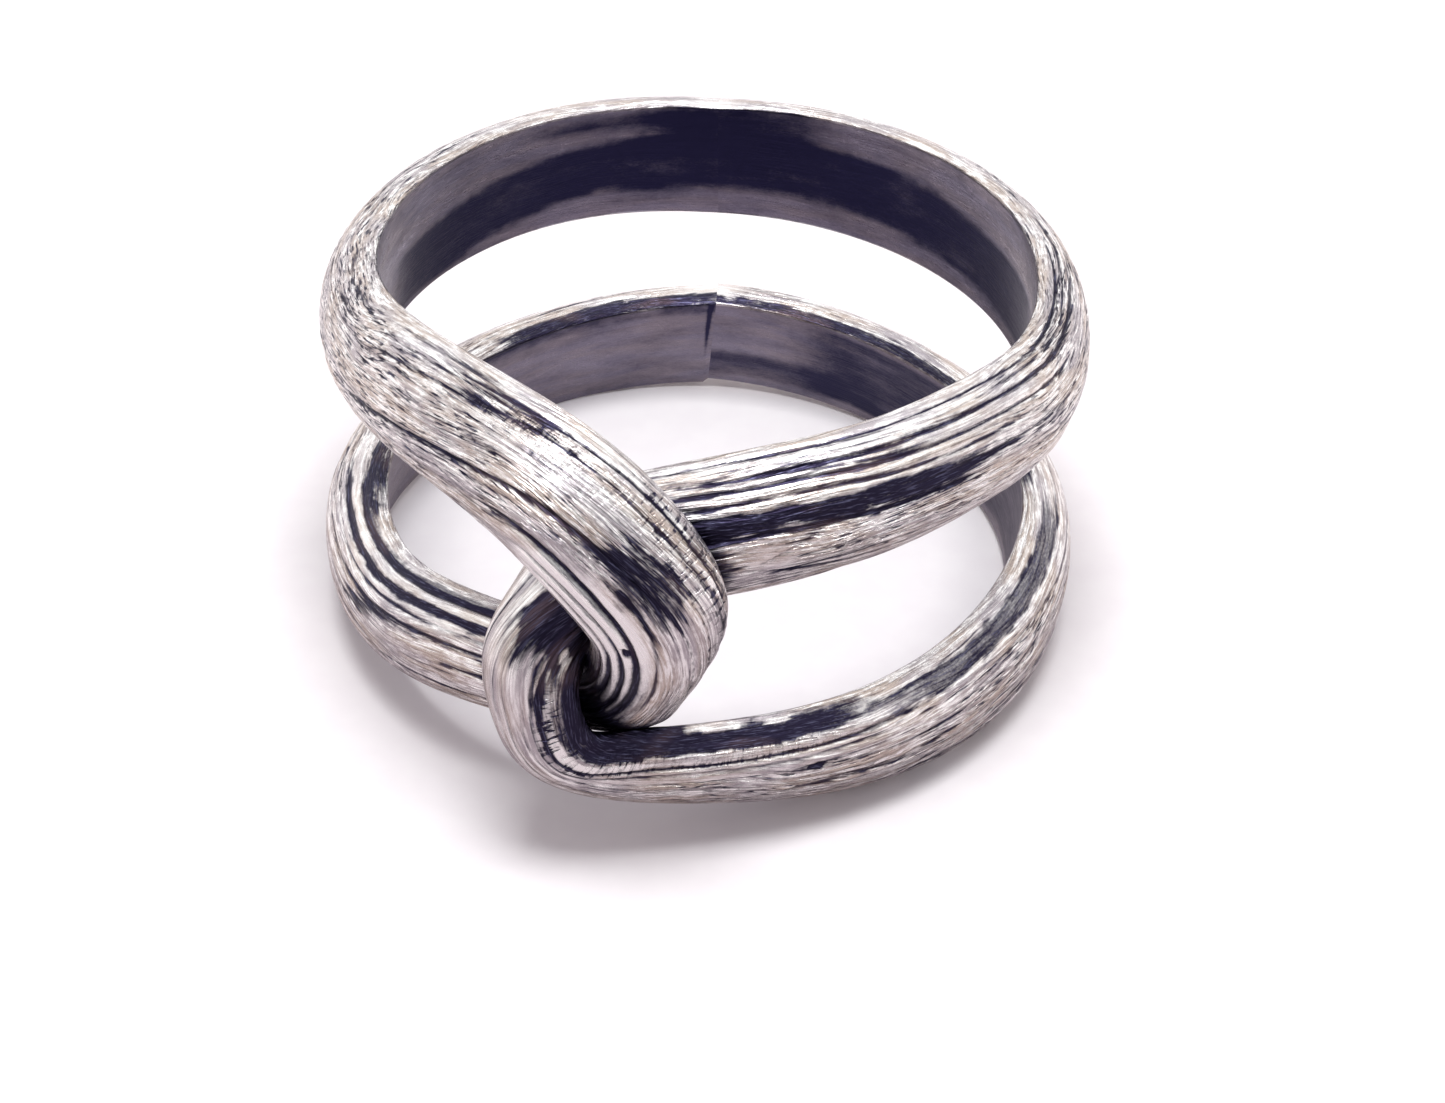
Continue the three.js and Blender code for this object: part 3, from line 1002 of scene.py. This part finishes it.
# Painted shade and light on the paper, seen only in the silver's reflections.
paper_light_and_shade_in_silver = n.mix(beyond, PAPER_SHADE_IN_SILVER, PAPER_LIGHT_IN_SILVER)
paper_colour = n.mix(mirrored, paper_colour, paper_light_and_shade_in_silver)
paper_shader = n.add("ShaderNodeBsdfPrincipled", {"Base Color": paper_colour, "Roughness": 0.9})
n.tree.links.new(paper_shader.outputs[0], n.add("ShaderNodeOutputMaterial").inputs["Surface"])
floor_mesh.materials.append(paper)

back = Vector((0, -math.cos(CAMERA_ELEVATION), math.sin(CAMERA_ELEVATION)))
level_right = Vector((1, 0, 0))
level_up = Vector((0, math.sin(CAMERA_ELEVATION), math.cos(CAMERA_ELEVATION)))
right_axis = level_right * math.cos(CAMERA_ROLL) + level_up * math.sin(CAMERA_ROLL)
up_axis = level_up * math.cos(CAMERA_ROLL) - level_right * math.sin(CAMERA_ROLL)
camera_data = bpy.data.cameras.new("camera")
camera_data.lens = CAMERA_LENS
camera_data.sensor_width = 36  # the width that the lens is given for
camera_data.clip_start = 0.005
camera_data.clip_end = 10
camera = bpy.data.objects.new("camera", camera_data)
bpy.context.scene.collection.objects.link(camera)
camera_place = (CAMERA_TARGET + back * CAMERA_DISTANCE) * MM
axes = Matrix((right_axis, up_axis, back)).transposed().to_4x4()
camera.matrix_world = Matrix.Translation(camera_place) @ axes
bpy.context.scene.camera = camera

key_data = bpy.data.lights.new("key", "AREA")
key_data.shape = "RECTANGLE"
key_data.size, key_data.size_y = KEY_SIZE
key_data.energy = KEY_POWER
key = bpy.data.objects.new("key", key_data)
bpy.context.scene.collection.objects.link(key)
key.location = KEY_POSITION
key.rotation_euler = (-KEY_POSITION).to_track_quat("-Z", "Y").to_euler()

# The room as the silver sees it: pale walls, a brighter ceiling and back wall, and one dark figure
# at the front, low over the table and wider than it is high. Matt surfaces get plain soft light,
# and the camera sees a white backdrop.
# The levels are the heights and depths, as shares of a direction, where one gives way to the next.
WALL = (0.98, 0.945, 0.94, 1)
CEILING = (1.40, 1.39, 1.39, 1)
BACK_WALL = (1.45, 1.44, 1.45, 1)
CEILING_LEVELS = (0.30, 0.62)
BACK_WALL_LEVELS = (-0.1, 0.8)
DARK_FIGURE = (0.07, 0.07, 0.095, 1)
FIGURE_TOWARD = (0.0, -0.985, 0.174)
FIGURE_FLATTENING = (1.0, 1.0, 2.1)
FIGURE_OUTER, FIGURE_INNER = math.radians(52), math.radians(26)
SOFT_LIGHT = (0.54, 0.50, 0.52, 1)
BACKDROP = (1.0, 1.0, 1.0, 1)

world = bpy.data.worlds.new("world")
bpy.context.scene.world = world
world.use_nodes = True
world.node_tree.nodes.clear()
w = Nodes(world.node_tree)
direction = w.add("ShaderNodeTexCoord").outputs["Generated"]
parts = w.add("ShaderNodeSeparateXYZ", {0: direction}).outputs
room = w.mix(w.step(parts["Z"], *CEILING_LEVELS), WALL, CEILING)
room = w.mix(w.step(parts["Y"], *BACK_WALL_LEVELS), room, BACK_WALL)
scaled = w.add("ShaderNodeVectorMath", {0: direction, 1: FIGURE_FLATTENING}, operation="MULTIPLY")
scaled = w.add("ShaderNodeVectorMath", {0: scaled.outputs["Vector"]}, operation="NORMALIZE")
toward = w.dot(scaled.outputs["Vector"], FIGURE_TOWARD)
figure = w.step(toward, math.cos(FIGURE_OUTER), math.cos(FIGURE_INNER))
room = w.mix(figure, room, DARK_FIGURE)
light_path = w.add("ShaderNodeLightPath").outputs
room = w.mix(light_path["Is Glossy Ray"], SOFT_LIGHT, room)
room = w.mix(light_path["Is Camera Ray"], room, BACKDROP)
background = w.add("ShaderNodeBackground", {"Color": room, "Strength": 1.0})
w.tree.links.new(background.outputs[0], w.add("ShaderNodeOutputWorld").inputs["Surface"])

bpy.context.scene.view_settings.view_transform = "Standard"
